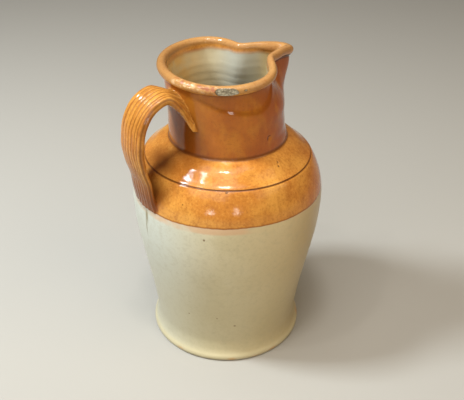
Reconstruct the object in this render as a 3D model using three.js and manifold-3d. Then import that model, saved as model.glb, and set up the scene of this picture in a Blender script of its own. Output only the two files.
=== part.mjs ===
// A stoneware jug in millimetres, +Z up. The origin is the centre of the underside, the spout points
// along +X and the handle stands at -X. Body, rim, spout and handle are one piece of fired clay.
import * as THREE from 'three';
import Module from 'manifold-3d';

// Body
const FOOT_RADIUS = 82;
const FOOT_EDGE_HEIGHT = 7;
const WAIST_RADIUS = 76.9;
const BELLY_RADIUS = 97.7;
const BELLY_HEIGHT = 168;
const LINE_RADIUS = 84.2;
const LINE_HEIGHT = 214;
const LINE_DEPTH = 0.9;
const UNDERSIDE_RADIUS = 79.4;

// Neck, rim and inside
const NECK_RADIUS = 59;
const NECK_FOOT_HEIGHT = 232;
const RIM_RADIUS = 63;
const RIM_HEIGHT = 305.2;
const RIM_HALF_WIDTH = 5.3;
const RIM_HALF_HEIGHT = 4.6;
const RIM_RISE_TO_SPOUT = 3.6;
const WALL = 6.6;
const BASE_THICKNESS = 8;

// Spout: a pinch on each side of the lip draws it out to a narrow beak
const PINCH_DEPTH = 22.5;
const PINCH_AZIMUTH = THREE.MathUtils.degToRad(44);
const PINCH_SPREAD = THREE.MathUtils.degToRad(30);
const PINCH_THINNING = 2.5;
const SPOUT_REACH = 12.4;
const SPOUT_SPREAD = THREE.MathUtils.degToRad(8);
const SPOUT_DROOP = 3.6;
const SPOUT_CHANNEL_LOSS = 4;
const SPOUT_KEEL_REACH = 14.7;
const SPOUT_KEEL_FOOT = 240;
const SPOUT_KEEL_HEAD = 290;
const CREASE_HEIGHT = 276;
const CREASE_SHARE = 0.28;

// Handle: a flat strap with reeds along its outer face
const HANDLE_WIDTH = 38;
const HANDLE_THICKNESS_TOP = 12;
const HANDLE_THICKNESS_END = 7;
const HANDLE_SPREAD_AT_NECK = 18;
const HANDLE_DROOP_AT_NECK = 13;
const REED_COUNT = 5;
const REED_DEPTH = 1.2;
const NECK_JOINT_RADIUS = NECK_RADIUS - 0.5 * WALL;
const BODY_JOINT_RADIUS = BELLY_RADIUS - 0.7 * WALL;

// Fineness of the faceted surface
const COLUMNS = 64;
const SPOUT_CROWDING = 0.5;
const RIM_STEPS = 8;
const HANDLE_STEPS = 30;
const REED_STEPS = 16;

const { smoothstep, lerp } = THREE.MathUtils;

// Points of revolution profiles are [radius, height] pairs
const outerProfile = [
  [UNDERSIDE_RADIUS, 0],
  [FOOT_RADIUS - 0.7, 1.2],
  [FOOT_RADIUS, 3.5],
  [FOOT_RADIUS - 0.6, FOOT_EDGE_HEIGHT - 1],
  [FOOT_RADIUS - 2.5, FOOT_EDGE_HEIGHT + 1.5],
  [WAIST_RADIUS + 1, 12.5],
  [WAIST_RADIUS, 19],
  ...splineProfile([
    [WAIST_RADIUS + 0.4, 28],
    [81.9, 60],
    [89, 100],
    [95.6, 137],
    [BELLY_RADIUS, BELLY_HEIGHT],
    [95.6, 188],
    [90.4, 203],
    [LINE_RADIUS + 1.2, LINE_HEIGHT - 1.4],
  ], 13),
  [LINE_RADIUS - LINE_DEPTH, LINE_HEIGHT],
  [LINE_RADIUS - 0.7, LINE_HEIGHT + 1.2],
  ...splineProfile([
    [79, 218.3],
    [70, 226],
    [62.5, 230.4],
    [NECK_RADIUS + 0.2, NECK_FOOT_HEIGHT + 1],
  ], 4),
  [NECK_RADIUS, 242],
  [NECK_RADIUS, 256],
  [NECK_RADIUS + 0.4, 267],
  [NECK_RADIUS + 1, CREASE_HEIGHT],
  [NECK_RADIUS + 1.6, 284],
  [NECK_RADIUS + 2.6, 292],
  [NECK_RADIUS + 3.4, RIM_HEIGHT - 5.5],
];

const innerProfile = [
  [RIM_RADIUS - RIM_HALF_WIDTH - 0.8, RIM_HEIGHT - 9],
  [NECK_RADIUS + 1.6 - WALL, 284],
  [NECK_RADIUS + 0.7 - WALL, 272],
  [NECK_RADIUS - WALL, 256],
  [NECK_RADIUS - WALL, 236],
  ...splineProfile([
    [NECK_RADIUS - WALL + 3.5, 226.5],
    [76.5, 209.5],
    [87.5, 191],
    [BELLY_RADIUS - WALL, BELLY_HEIGHT],
    [84.5, 106],
    [75.5, 62],
    [70.5, 26],
    [66.5, 15],
    [55, BASE_THICKNESS + 1],
  ], 13),
];

// A smooth run of profile points through a few guide points
function splineProfile(guides, steps) {
  const curve = new THREE.SplineCurve(guides.map((guide) => new THREE.Vector2(...guide)));
  return curve.getSpacedPoints(steps).map((point) => [point.x, point.y]);
}

// The columns of points stand closer together near the spout, where the lip turns sharply
function columnAzimuths() {
  const azimuths = [];
  for (let column = 0; column < COLUMNS; column += 1) {
    const turn = (2 * column) / COLUMNS - 1;
    azimuths.push(Math.PI * turn * (SPOUT_CROWDING + (1 - SPOUT_CROWDING) * turn * turn));
  }
  return azimuths;
}

// The pull of the two pinches at an azimuth, from 0 to about 1
function pinch(azimuth) {
  const side = Math.abs(azimuth);
  const near = Math.exp(-(((side - PINCH_AZIMUTH) / PINCH_SPREAD) ** 2));
  const far = Math.exp(-(((side + PINCH_AZIMUTH) / PINCH_SPREAD) ** 2));
  return near + far;
}

// The spout's beak stands out in a narrow band round azimuth 0
function beak(azimuth) {
  return Math.exp(-((azimuth / SPOUT_SPREAD) ** 2));
}

function lipShift(azimuth) {
  return SPOUT_REACH * beak(azimuth) - PINCH_DEPTH * pinch(azimuth);
}

// Where the lip runs aslant of its round line, a wall of true thickness is longer along the radius
function slant(azimuth) {
  const step = 0.01;
  const slope = (lipShift(azimuth + step) - lipShift(azimuth - step)) / (2 * step);
  return Math.hypot(1, slope / (RIM_RADIUS + lipShift(azimuth)));
}

// The pinches are full at the lip, ease off to the crease below it, and die out at the neck's foot
function pinchShare(height) {
  const belowCrease = CREASE_SHARE * smoothstep(height, NECK_FOOT_HEIGHT, CREASE_HEIGHT);
  return belowCrease + (1 - CREASE_SHARE) * smoothstep(height, CREASE_HEIGHT - 6, RIM_HEIGHT - 2);
}

// The keel under the beak runs further down the neck than the pinches do
function keelShare(height) {
  return smoothstep(height, SPOUT_KEEL_FOOT, SPOUT_KEEL_HEAD);
}

// The lip climbs gently from the handle side to the spout, and the beak's tip droops
function lipRise(reach, azimuth) {
  const climb = RIM_RISE_TO_SPOUT * smoothstep(reach * Math.cos(azimuth), -RIM_RADIUS, RIM_RADIUS);
  return climb - SPOUT_DROOP * beak(azimuth);
}

// A ring of points on the wall; the offset is how far it stands outside the round line of the lip
function ringAt(radius, height, offset = 0) {
  return columnAzimuths().map((azimuth) => {
    const keel = keelShare(height) * SPOUT_KEEL_REACH * beak(azimuth);
    const dent = pinchShare(height) * PINCH_DEPTH * pinch(azimuth);
    const reach = radius + keel - dent + offset * (1 + pinchShare(height) * (slant(azimuth) - 1));
    const rise = lipRise(reach, azimuth) * smoothstep(height, CREASE_HEIGHT, RIM_HEIGHT);
    return new THREE.Vector3(reach * Math.cos(azimuth), reach * Math.sin(azimuth), height + rise);
  });
}

// The inner face stands a wall's thickness inside the outer one, and fills the beak's narrow end
function innerRingAt(radius, height) {
  const ring = ringAt(radius + WALL, height, -WALL);
  return fillBeak(ring, keelShare(height));
}

function fillBeak(ring, share) {
  const azimuths = columnAzimuths();
  ring.forEach((point, column) => {
    const outwards = new THREE.Vector3(Math.cos(azimuths[column]), Math.sin(azimuths[column]), 0);
    point.addScaledVector(outwards, -share * SPOUT_CHANNEL_LOSS * beak(azimuths[column]));
  });
  return ring;
}

// The rolled lip goes over from the outer wall to the inner one in a half round, thinner at the pinches
function rimRings() {
  const rings = [];
  for (let step = 0; step <= RIM_STEPS; step += 1) {
    const turn = lerp(-0.22 * Math.PI, 1.06 * Math.PI, step / RIM_STEPS);
    const height = RIM_HEIGHT + RIM_HALF_HEIGHT * Math.sin(turn);
    const ring = columnAzimuths().map((azimuth) => {
      const halfWidth = (RIM_HALF_WIDTH - PINCH_THINNING * pinch(azimuth)) * slant(azimuth);
      const reach = RIM_RADIUS + lipShift(azimuth) + halfWidth * Math.cos(turn);
      const rise = lipRise(reach, azimuth);
      return new THREE.Vector3(reach * Math.cos(azimuth), reach * Math.sin(azimuth), height + rise);
    });
    rings.push(fillBeak(ring, 0.5 * (1 - Math.cos(turn))));
  }
  return rings;
}

// The handle's middle line lies in the plane Y = 0, from the neck over the crest to the belly
const handleLine = new THREE.CatmullRomCurve3([
  new THREE.Vector3(-NECK_JOINT_RADIUS, 0, 277),
  new THREE.Vector3(-64, 0, 285),
  new THREE.Vector3(-76.5, 0, 290.6),
  new THREE.Vector3(-90.4, 0, 285.4),
  new THREE.Vector3(-101.4, 0, 270),
  new THREE.Vector3(-106, 0, 248),
  new THREE.Vector3(-104.2, 0, 229),
  new THREE.Vector3(-99.2, 0, 209.5),
  new THREE.Vector3(-97, 0, 193),
  new THREE.Vector3(-BODY_JOINT_RADIUS, 0, 177),
]);

// A round-edged strap section as [across, outwards] pairs, with reeds on its outer face
function strapSection(width, thickness) {
  const half = 0.5 * thickness;
  const flat = 0.5 * width - half;
  const section = [];
  for (let step = 0; step <= REED_STEPS; step += 1) {
    const share = step / REED_STEPS;
    const reed = 0.5 * REED_DEPTH * (1 - Math.cos(2 * Math.PI * REED_COUNT * (share + 0.5 / REED_COUNT)));
    section.push([lerp(-flat, flat, share), half - REED_DEPTH + reed]);
  }
  section.push([flat + 0.75 * half, 0.55 * half]);
  section.push([flat + half, -0.1 * half]);
  section.push([flat + 0.6 * half, -0.8 * half]);
  section.push([0.5 * flat, -half]);
  section.push([-0.5 * flat, -half]);
  section.push([-flat - 0.6 * half, -0.8 * half]);
  section.push([-flat - half, -0.1 * half]);
  section.push([-flat - 0.75 * half, 0.55 * half]);
  return section;
}

function handleRings() {
  const rings = [];
  for (let step = 0; step <= HANDLE_STEPS; step += 1) {
    const share = step / HANDLE_STEPS;
    const middle = handleLine.getPointAt(share);
    const along = handleLine.getTangentAt(share);
    const outwards = new THREE.Vector3(along.z, 0, -along.x);
    const nearNeck = 1 - smoothstep(share, 0, 0.16);
    const width = HANDLE_WIDTH + HANDLE_SPREAD_AT_NECK * nearNeck;
    const thickness = lerp(HANDLE_THICKNESS_TOP, HANDLE_THICKNESS_END, smoothstep(share, 0.3, 0.95));
    const ring = strapSection(width, thickness).map(([across, lift]) => {
      const point = middle.clone().addScaledVector(outwards, lift);
      point.y = across;
      point.z -= HANDLE_DROOP_AT_NECK * nearNeck * (2 * across / width) ** 2;
      return point;
    });
    rings.push(ring);
  }
  bendToWall(rings[0], NECK_JOINT_RADIUS);
  bendToWall(rings[HANDLE_STEPS], BODY_JOINT_RADIUS);
  return [
    ...closingRings(rings[0], NECK_JOINT_RADIUS).reverse(),
    ...rings,
    ...closingRings(rings[HANDLE_STEPS], BODY_JOINT_RADIUS),
  ];
}

// Smaller copies of an end ring on the same round, so that the end stays within the wall
function closingRings(ring, radius) {
  const middle = new THREE.Vector3();
  for (const point of ring) {
    middle.addScaledVector(point, 1 / ring.length);
  }
  return [0.5, 0.02].map((share) => {
    const smaller = ring.map((point) => middle.clone().lerp(point, share));
    bendToWall(smaller, radius);
    return smaller;
  });
}

// Moves an end ring onto the round of the wall that it is buried in
function bendToWall(ring, radius) {
  for (const point of ring) {
    point.x = -Math.sqrt(radius ** 2 - point.y ** 2);
  }
}

// One closed surface through rings of equal length, each end closed by a fan to its centre
function closedLoft(rings) {
  const count = rings[0].length;
  const positions = [];
  const indices = [];
  for (const ring of rings) {
    for (const point of ring) {
      positions.push(point.x, point.y, point.z);
    }
  }
  for (let level = 0; level + 1 < rings.length; level += 1) {
    for (let column = 0; column < count; column += 1) {
      const next = (column + 1) % count;
      const a = level * count + column;
      const b = level * count + next;
      indices.push(a, b, b + count, a, b + count, a + count);
    }
  }
  for (const [level, turned] of [[0, true], [rings.length - 1, false]]) {
    const centre = new THREE.Vector3();
    for (const point of rings[level]) {
      centre.addScaledVector(point, 1 / count);
    }
    const centreIndex = positions.length / 3;
    positions.push(centre.x, centre.y, centre.z);
    for (let column = 0; column < count; column += 1) {
      const a = level * count + column;
      const b = level * count + (column + 1) % count;
      indices.push(...(turned ? [b, a, centreIndex] : [a, b, centreIndex]));
    }
  }
  return { positions, indices };
}

const wasm = await Module();
wasm.setup();

function solidFromLoft({ positions, indices }) {
  return new wasm.Manifold(new wasm.Mesh({
    numProp: 3,
    vertProperties: new Float32Array(positions),
    triVerts: new Uint32Array(indices),
  }));
}

function geometryFromSolid(solid) {
  const { vertProperties, triVerts } = solid.getMesh();
  const geometry = new THREE.BufferGeometry();
  geometry.setAttribute('position', new THREE.BufferAttribute(vertProperties, 3));
  geometry.setIndex(new THREE.BufferAttribute(triVerts, 1));
  geometry.computeVertexNormals();
  return geometry;
}

const shellRings = [
  ...outerProfile.map(([radius, height]) => ringAt(radius, height)),
  ...rimRings(),
  ...innerProfile.map(([radius, height]) => innerRingAt(radius, height)),
];
const shell = solidFromLoft(closedLoft(shellRings));
const handle = solidFromLoft(closedLoft(handleRings()));
const jugSolid = shell.add(handle);

const glazedStoneware = new THREE.MeshStandardMaterial({
  color: 0xc08040,
  roughness: 0.25,
  metalness: 0,
});

const jug = new THREE.Mesh(geometryFromSolid(jugSolid), glazedStoneware);
jug.name = 'jug';

const object = new THREE.Group();
object.add(jug);

export default object;
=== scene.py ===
# %% [markdown]
# # A two-tone stoneware jug
#
# The jug is thrown on a wheel, pinched into a spout, given a pulled strap handle, and fired with two
# glazes: a pale one all over and a warm brown one that the upper part is dipped in.
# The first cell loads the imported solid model, which gives the true size and place of everything.

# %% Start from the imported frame
import math

import bpy
import numpy as np
from mathutils import Matrix, Vector
from mathutils.kdtree import KDTree


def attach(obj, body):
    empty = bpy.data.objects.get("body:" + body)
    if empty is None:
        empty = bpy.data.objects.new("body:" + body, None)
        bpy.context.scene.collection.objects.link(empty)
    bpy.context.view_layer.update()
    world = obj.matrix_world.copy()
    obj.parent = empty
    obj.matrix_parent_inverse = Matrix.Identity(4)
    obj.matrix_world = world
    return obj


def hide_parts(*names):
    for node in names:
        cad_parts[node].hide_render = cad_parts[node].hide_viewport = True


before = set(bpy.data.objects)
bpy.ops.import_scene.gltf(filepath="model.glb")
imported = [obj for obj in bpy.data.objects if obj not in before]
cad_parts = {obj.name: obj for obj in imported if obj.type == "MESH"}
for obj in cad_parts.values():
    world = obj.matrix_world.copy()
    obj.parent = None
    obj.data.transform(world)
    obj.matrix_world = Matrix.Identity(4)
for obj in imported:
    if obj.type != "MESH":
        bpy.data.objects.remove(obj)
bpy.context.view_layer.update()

MM = 0.001

# %% [markdown]
# ## The camera
#
# The picture is taken from above and from the handle's side. A camera is a point, three directions and
# a focal length, so the four are written down as measured and turned into one matrix. Pointing it by
# a constraint would also work, but it would lose the slight tilt of a hand-held picture.

# %% Place the camera
CAMERA_PLACE = Vector((-0.36818, -0.54585, 0.56154))
FOCAL_PIXELS = 733
FRAME_WIDTH_PIXELS = 464
SENSOR_WIDTH = 36
JUG_TURN = math.radians(-34)
PITCH, YAW, ROLL = math.radians(31.83), math.radians(-0.44), math.radians(0.80)

ahead = Vector((-math.sin(YAW) * math.cos(PITCH), math.cos(YAW) * math.cos(PITCH), -math.sin(PITCH)))
level = Vector((math.cos(YAW), math.sin(YAW), 0))
above = level.cross(ahead)
right = math.cos(ROLL) * level + math.sin(ROLL) * above
up = math.cos(ROLL) * above - math.sin(ROLL) * level
directions = Matrix((right, up, -ahead)).transposed()
camera_matrix = (Matrix.Rotation(JUG_TURN, 3, "Z") @ directions).to_4x4()
camera_matrix.translation = CAMERA_PLACE

bpy.ops.object.select_all(action="DESELECT")
bpy.ops.object.camera_add()
camera = bpy.context.object
camera.name = "camera"
camera.matrix_world = camera_matrix
camera.data.sensor_width = SENSOR_WIDTH
camera.data.lens = SENSOR_WIDTH * FOCAL_PIXELS / FRAME_WIDTH_PIXELS
camera.data.clip_start = 0.01
bpy.context.scene.camera = camera
print("camera lens in mm:", round(camera.data.lens, 2))

# %% [markdown]
# ## The studio
#
# Glaze shows its shape by what it reflects, so the lamps are soft panels that face the jug. The main one
# stands to the left, like a window, and two small ones high up give the sparks of light on the shoulder.
# Each is set by the direction it comes from, in degrees, its distance and size in m, and its watts.

# %% Hang the lamps
JUG_MIDDLE = Vector((0, 0, 0.16))
COOL, NEUTRAL, WARM = (0.84, 0.93, 1.0), (1.0, 0.98, 0.94), (1.0, 0.76, 0.46)
LAMPS = {
    "window_lamp": (153, 52.5, 1.5, (0.27, 0.24), 28, COOL),
    "front_lamp": (-150, 40, 2.6, (2.2, 1.6), 24, NEUTRAL),
    "overhead_lamp": (-150, 82, 2.4, (1.6, 1.6), 22, NEUTRAL),
    "spark_lamp": (-134, 76, 1.5, (0.22, 0.06), 5.5, NEUTRAL),
    "small_spark_lamp": (-177, 62, 1.5, (0.08, 0.08), 2.0, NEUTRAL),
    "low_left_lamp": (-142, 7, 2.0, (0.26, 0.10), 2.0, NEUTRAL),
    "low_right_lamp": (-113, 9, 2.0, (0.20, 0.20), 2.0, NEUTRAL),
    "warm_lamp": (-66, 38, 2.2, (1.7, 1.5), 15, WARM),
}
for name, (azimuth, elevation, distance, size, power, colour) in LAMPS.items():
    turn, climb = math.radians(azimuth), math.radians(elevation)
    outwards = Vector((math.cos(turn) * math.cos(climb), math.sin(turn) * math.cos(climb), math.sin(climb)))
    bpy.ops.object.light_add(type="AREA", location=outwards * distance + JUG_MIDDLE)
    lamp = bpy.context.object
    lamp.name = name
    lamp.rotation_euler = outwards.to_track_quat("Z", "Y").to_euler()
    lamp.data.shape = "RECTANGLE"
    lamp.data.size, lamp.data.size_y = size
    lamp.data.energy = power
    lamp.data.color = colour
print("lamps:", list(LAMPS))

# %% [markdown]
# A weak warm light from all around keeps the shadows from going black. The floor is one large plain
# plane, with no edge or pattern that the glaze could mirror.

# %% Light the room and lay the floor
ROOM_COLOUR, ROOM_LIGHT, FLOOR_SIZE = (1.0, 0.86, 0.68, 1), 0.12, 6

world = bpy.data.worlds.new("studio")
bpy.context.scene.world = world
world.use_nodes = True
room = world.node_tree.nodes["Background"]
room.inputs["Color"].default_value = ROOM_COLOUR
room.inputs["Strength"].default_value = ROOM_LIGHT
bpy.context.scene.view_settings.view_transform = "Standard"

bpy.ops.object.select_all(action="DESELECT")
bpy.ops.mesh.primitive_plane_add(size=FLOOR_SIZE)
floor = bpy.context.object
floor.name = "studio_floor"
print("the floor is", FLOOR_SIZE, "m wide")

# %% [markdown]
# ## The thrown body
#
# A potter shapes a pot by its profile while the wheel turns it, and Spin does the same: a line of
# points is drawn from the middle of the underside, up the outside, over the lip and down the inside to
# the floor, and is then swept round the axis. A lathe modifier would do it too, but Spin leaves real
# points that can be pinched into a spout. Each line is drawn smoothly through a few guide points.


# %% A helper for smooth lines
def evenly(points, spacing):
    """The same line again, with its points at an even spacing."""
    steps = np.linalg.norm(np.diff(points, axis=0), axis=1)
    along = np.concatenate([[0], np.cumsum(steps)])
    count = max(1, round(along[-1] / spacing))
    places = np.linspace(0, along[-1], count + 1)
    return np.column_stack([np.interp(places, along, column) for column in points.T])


def smooth_line(guides, spacing):
    """A smooth line through a few guide points, with its points at an even spacing."""
    guides = np.array(guides, float)
    knots = np.vstack([guides[:1], guides, guides[-1:]])
    pieces = []
    for a, b, c, d in zip(knots, knots[1:], knots[2:], knots[3:]):
        t = np.linspace(0, 1, 30, endpoint=False)[:, None]
        bend = (2 * a - 5 * b + 4 * c - d) * t**2 + (3 * b - a - 3 * c + d) * t**3
        pieces.append(0.5 * (2 * b + (c - a) * t + bend))
    return evenly(np.vstack(pieces + [guides[-1:]]), spacing)


print("points on a short test line:", len(smooth_line([(0, 0), (9, 2)], 1.0)))

# %% [markdown]
# The outside is drawn in parts, from the beaded foot to the lip, because each needs its own spacing:
# points stand close together where the glaze catches the light. Lengths are in mm, as (radius, height).

# %% Draw the outside
foot = smooth_line(
    [(79.4, 0.0), (81.3, 1.2), (82, 3.5), (81.4, 6), (79.5, 8.5), (77.9, 12.5), (76.9, 19)],
    1.2,
)
belly = smooth_line(
    [(76.9, 19), (77.3, 28), (81.9, 60), (89, 100), (95.6, 137), (97.7, 168), (95.6, 188),
     (90.4, 203), (85.4, 212.6)],
    2.7,
)
incised_line = [
    (84.9, 213.1), (84.5, 213.4), (83.6, 213.7), (83.2, 214.1), (83.2, 214.5), (83.5, 214.8), (83.2, 215.1),
]
shoulder = smooth_line([(82.7, 215.6), (79, 218.3), (70, 226), (62.5, 230.4)], 1.5)
neck_crease = [(61.2, 231.0), (60.1, 231.5), (59.3, 232.2), (58.8, 233.2), (58.7, 234.6), (58.8, 236.5)]
neck = smooth_line(
    [(58.9, 238.2), (59, 248), (59, 256), (59.4, 267), (60, 276), (60.6, 284), (61.3, 292), (61.5, 299.2)],
    1.6,
)
under_lip = [(61.5, 299.9), (62.1, 300.4), (63.2, 300.7)]
outside_runs = (foot, belly[1:], incised_line, shoulder, neck_crease, neck, under_lip)
print("points on the outside:", sum(len(run) for run in outside_runs))

# %% [markdown]
# The lip is a roll of clay, so it is part of an oval, and the inside follows at the wall's thickness.
# All the points go into one list of rows, each with the part it belongs to.

# %% Draw the lip and the inside
UNDERSIDE, OUTSIDE, LIP, INSIDE, INNER_FLOOR = range(5)
WALL = 6.6
LIP_RADIUS, LIP_HEIGHT, LIP_HALF_WIDTH, LIP_HALF_HEIGHT = 63, 305.2, 4.8, 4.6
LIP_TURNS = np.linspace(-0.36 * math.pi, 1.06 * math.pi, 24)
UNDERSIDE_RADII, FLOOR_RADII, FLOOR_HEIGHT = (0, 20, 40, 60, 72, 77), (42, 28, 14, 0), 8.3

throat = smooth_line([(58.3, 302.0), (57.2, 296.2), (54, 284), (53.1, 272), (52.4, 256), (52.4, 236)], 2.4)
hollow = smooth_line(
    [(52.4, 236), (55.9, 226.5), (76.5, 209.5), (87.5, 191), (91.1, 168), (84.5, 106), (75.5, 62),
     (70.5, 26), (66.5, 15), (55, 9)],
    5.0,
)
rows = [(UNDERSIDE, radius, 0.0, 0.0) for radius in UNDERSIDE_RADII]
for run in outside_runs:
    rows += [(OUTSIDE, radius, height, 0.0) for radius, height in run]
for turn in LIP_TURNS:
    radius = LIP_RADIUS + LIP_HALF_WIDTH * math.cos(turn)
    rows.append((LIP, radius, LIP_HEIGHT + LIP_HALF_HEIGHT * math.sin(turn), turn))
for run in (throat, hollow[1:]):
    rows += [(INSIDE, radius, height, 0.0) for radius, height in run]
rows += [(INNER_FLOOR, radius, FLOOR_HEIGHT, 0.0) for radius in FLOOR_RADII]
rows = np.array(rows)
print("points on the profile:", len(rows))

# %% [markdown]
# The profile starts as one point: a plane shrunk to its centre. Each further point is extruded from
# the last, and each keeps the number of its row, so that a later step knows which part it belongs to.

# %% Extrude the profile and spin it
COLUMNS = 264

bpy.ops.object.select_all(action="DESELECT")
bpy.ops.mesh.primitive_plane_add(size=0.01)
body = bpy.context.object
body.name = "thrown_body"
bpy.ops.object.mode_set(mode="EDIT")
bpy.ops.mesh.select_all(action="SELECT")
bpy.ops.mesh.merge(type="CENTER")
for before, after in zip(rows, rows[1:]):
    step = Vector((after[1] - before[1], 0, after[2] - before[2])) * MM
    bpy.ops.mesh.extrude_region_move(TRANSFORM_OT_translate={"value": step})
bpy.ops.object.mode_set(mode="OBJECT")

row_number = body.data.attributes.new("row", "FLOAT", "POINT")
row_number.data.foreach_set("value", np.arange(len(rows), dtype=np.float32))

bpy.ops.object.mode_set(mode="EDIT")
bpy.ops.mesh.select_all(action="SELECT")
bpy.ops.mesh.spin(steps=COLUMNS, angle=2 * math.pi, center=(0, 0, 0), axis=(0, 0, 1))
bpy.ops.mesh.select_all(action="SELECT")
bpy.ops.mesh.remove_doubles(threshold=0.02 * MM)
bpy.ops.mesh.normals_make_consistent(inside=False)
bpy.ops.object.mode_set(mode="OBJECT")
print("body points:", len(body.data.vertices), "faces:", len(body.data.polygons))

# %% [markdown]
# ## Pinching the spout
#
# While the clay is soft, two fingers press the neck in on both sides and a third draws the lip out
# between them. Every point of the neck is moved along its radius by two things: a pinch on each side and
# a narrow beak in front. Proportional editing by hand does the same, but a formula keeps the wall's
# thickness true. A pinch has a depth in mm, a middle in degrees, and its spread on both sides of that.


# %% Soft steps and the pinch
def fade(value, low, high):
    """A smooth step from 0 to 1."""
    t = np.clip((value - low) / (high - low), 0, 1)
    return t * t * (3 - 2 * t)


def bump(value, centre, spread):
    """A smooth hump that is 1 at its centre."""
    return np.exp(-(((value - centre) / spread) ** 2))


NEAR_PINCH, FAR_PINCH = (22.4, -35.2, 41.8, 24.3), (26.7, 37.7, 28.7, 27.0)
MOST_PRESSED = 1.1


def pinch(azimuth):
    """How far the two pinches press in at full depth, in mm, at an azimuth in degrees."""
    total = 0
    for depth, centre, spread_below, spread_above in (NEAR_PINCH, FAR_PINCH):
        spread = np.where(azimuth < centre, spread_below, spread_above)
        total = total + depth * bump(azimuth, centre, spread)
    return total


def pressed_share(azimuth):
    """The pinch as a share of the near one's depth."""
    return np.clip(pinch(azimuth) / NEAR_PINCH[0], 0, MOST_PRESSED)


print("the pinches press in by, in mm:", pinch(np.array([-35, 0, 38])).round(1))

# %% [markdown]
# A mouth made by hand is never quite round, level or in the middle. The lip climbs towards the spout and
# sags beside it, and a wall that runs aslant has to be longer to be as thick.

# %% How the lip moves
SPOUT_REACH, SPOUT_KEEL_REACH, SPOUT_SPREAD, KEEL_SPREAD = 13.8, 15.2, 8.8, 14.5
SPOUT_DROOP, SPOUT_CHANNEL_LOSS = 4.1, 4.0
LIP_OFF_CENTRE = (0.93, 2.61)
MOUTH = (262, 303)
PINCH_THINNING = 1.1


def beak(azimuth, spread=SPOUT_SPREAD):
    """The spout's narrow front, from 0 to 1."""
    return bump(azimuth, 0, spread)


def drift(azimuth):
    """A hand-made mouth is never quite in the middle."""
    angle = np.radians(azimuth)
    return LIP_OFF_CENTRE[0] * np.cos(angle) + LIP_OFF_CENTRE[1] * np.sin(angle)


def lip_shift(azimuth):
    """How far the lip moves outwards, in mm."""
    return SPOUT_REACH * beak(azimuth) - pinch(azimuth) + drift(azimuth)


def lip_rise(azimuth):
    """The lip climbs to the spout, sags on the near side, and the beak's tip droops."""
    angle = np.radians(azimuth)
    sway = 0.9 + 3.14 * np.cos(angle) + 0.26 * np.sin(angle)
    sway = sway + 0.38 * np.cos(2 * angle) - 1.23 * np.sin(2 * angle)
    return sway - SPOUT_DROOP * beak(azimuth)


def slant(azimuth):
    """A wall that runs aslant of its round line is longer along the radius than it is thick."""
    slope = (lip_shift(azimuth + 0.5) - lip_shift(azimuth - 0.5)) / math.radians(1)
    return np.minimum(np.hypot(1, slope / (LIP_RADIUS + lip_shift(azimuth))), 3)


print("the lip moves in or out by, in mm:", lip_shift(np.array([-35, 0, 38, 180])).round(1))

# %% [markdown]
# Further down the neck the pinches fade out, and so does the keel, the ridge below the beak. How much of
# each is left at a height is a sum of soft steps.


# %% How far down the pinches run
def pinch_share(height, azimuth):
    """The near pinch is shallow below the lip; the far one runs further down."""
    near = 0.135 * fade(height, 233, 246) + 0.06 * fade(height, 246, 262) + 0.805 * fade(height, 266, 302)
    far = 0.30 * fade(height, 232, 262) + 0.70 * fade(height, 244, 303)
    return near + (far - near) * fade(azimuth, -8, 24)


def keel_share(height):
    """How much of the spout's keel is left at a height."""
    return 0.20 * fade(height, 240, 262) + 0.80 * fade(height, 265, 298)


print("shares 270 mm up:", round(float(pinch_share(270, -35)), 2), round(float(keel_share(270)), 2))

# %% [markdown]
# The pinch also leaves a shallow fold under the near side of the lip, shaped like a smile, and the
# thrower's fingers leave faint rings. The glaze reflects them, so they are in the mesh too.


# %% The thrower's small marks
def fold_line(azimuth):
    """The height of the smile-shaped fold under the lip, in mm."""
    away = azimuth + 96
    return 276.5 + np.where(away < 0, 0.0045, 0.030) * away**2


def fold(azimuth, height):
    """How far the wall stands out along the fold, and sinks above it."""
    window = fade(azimuth, -165, -125) * (1 - fade(azimuth, -80, -58))
    rise = height - fold_line(azimuth)
    ridge = np.where(rise < 0, np.exp(-((rise / 9) ** 2)), np.exp(-((rise / 2.6) ** 2)))
    return window * (0.5 * ridge - 0.6 * fade(rise, 0, 6) * (1 - fade(height, 293, 301)))


def throwing_rings(azimuth, height):
    """Faint spiral ridges, a few mm apart and under 0.2 mm high."""
    spiral = height + azimuth / 360 * 9
    slow = 0.10 * np.sin(spiral / 15 + 1) + 0.03 * np.sin(spiral / 5.3)
    return slow * fade(height, 24, 50) * (1 - fade(height, 196, 212))


def inner_rings(azimuth, height):
    """Finer, stronger ridges, which nobody smoothed on the inside."""
    spiral = height + azimuth / 360 * 7
    return 0.30 * np.sin(spiral / 1.15) * (0.6 + 0.4 * np.sin(height / 13))


print("the fold is lowest at, in mm:", round(float(fold_line(-96)), 1))

# %% [markdown]
# Now every point is moved. Its row says where it was thrown, and the pinch, the keel, the fold and the
# rings say how far it has gone since. Both sides of the wall move by the same dent, so the wall keeps
# its thickness.


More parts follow.
